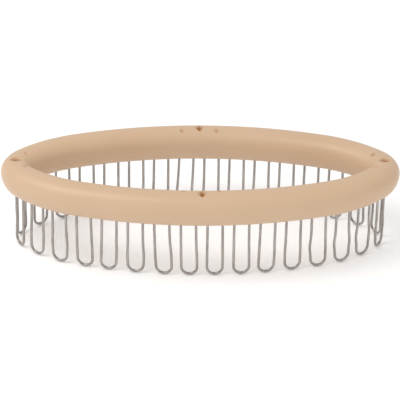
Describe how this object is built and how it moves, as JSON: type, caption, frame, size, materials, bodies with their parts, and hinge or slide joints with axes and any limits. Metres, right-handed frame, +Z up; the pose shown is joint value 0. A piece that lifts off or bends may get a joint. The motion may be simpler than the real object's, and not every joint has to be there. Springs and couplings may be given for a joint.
{
  "type": "knitting_loom",
  "caption": "Oval hand knitting loom: moulded cream plastic ring with a row of bent wire loops in its underside and V notches for the yarn on its crown.",
  "frame": {"origin": "Midway between the ring's ends and sides, at the level of the lowest points of the wire loops.", "axes": "X runs along the ring's long axis, Y across it, Z up from the loops to the crown of the ring."},
  "size_m": [0.15, 0.065, 0.0345],
  "materials": {
    "ring_plastic": "satin",
    "loop_wire": "bright drawn"
  },
  "bodies": {
    "root": {"ring": "ring_plastic", "loop_01": "loop_wire", "loop_02": "loop_wire", "loop_03": "loop_wire", "loop_04": "loop_wire", "loop_05": "loop_wire", "loop_06": "loop_wire", "loop_07": "loop_wire", "loop_08": "loop_wire", "loop_09": "loop_wire", "loop_10": "loop_wire", "loop_11": "loop_wire", "loop_12": "loop_wire", "loop_13": "loop_wire", "loop_14": "loop_wire", "loop_15": "loop_wire", "loop_16": "loop_wire", "loop_17": "loop_wire", "loop_18": "loop_wire", "loop_19": "loop_wire", "loop_20": "loop_wire", "loop_21": "loop_wire", "loop_22": "loop_wire", "loop_23": "loop_wire", "loop_24": "loop_wire", "loop_25": "loop_wire", "loop_26": "loop_wire", "loop_27": "loop_wire", "loop_28": "loop_wire", "loop_29": "loop_wire", "loop_30": "loop_wire", "loop_31": "loop_wire", "loop_32": "loop_wire"}
  },
  "joints": []
}
